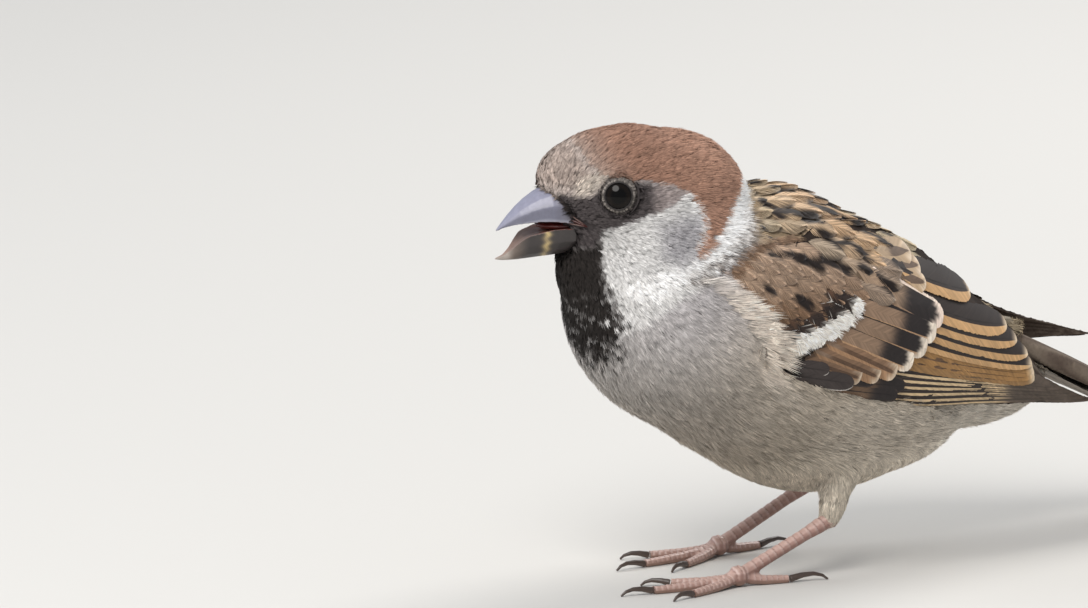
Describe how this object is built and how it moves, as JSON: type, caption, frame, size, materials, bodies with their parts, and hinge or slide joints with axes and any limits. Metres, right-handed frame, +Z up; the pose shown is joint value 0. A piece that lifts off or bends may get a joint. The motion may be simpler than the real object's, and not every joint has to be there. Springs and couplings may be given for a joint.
{
  "type": "chestnut-crowned house sparrow",
  "caption": "Standing sparrow, life size and still: chestnut crown, black bib, white collar, streaked back, folded wings with a white bar, head a little turned, bill open.",
  "frame": {"origin": "centre of the bounding box at floor level, under the feet", "axes": "+Z up, the bird faces -Y with its tail towards +Y, its left side is +X"},
  "size_m": [0.042, 0.135, 0.073],
  "materials": {
    "coat_warm": "feathered",
    "coat_pale": "feathered",
    "wing": "feathered",
    "tail": "feathered",
    "eye": "wet gloss",
    "horn": "satin horn",
    "leg": "scaly skin",
    "claw": "satin horn"
  },
  "bodies": {
    "root": {"head": "coat_warm", "neck": "coat_pale", "trunk": "coat_pale", "thigh_left": "coat_pale", "thigh_right": "coat_pale", "wing_left": "wing", "wing_right": "wing", "tail": "tail", "eye_left": "eye", "eye_right": "eye", "bill_upper": "horn", "bill_lower": "horn", "tarsus_left": "leg", "tarsus_right": "leg", "foot_left": "leg", "foot_right": "leg", "claw_left_1": "claw", "claw_left_2": "claw", "claw_left_3": "claw", "claw_left_4": "claw", "claw_right_1": "claw", "claw_right_2": "claw", "claw_right_3": "claw", "claw_right_4": "claw"}
  },
  "joints": []
}
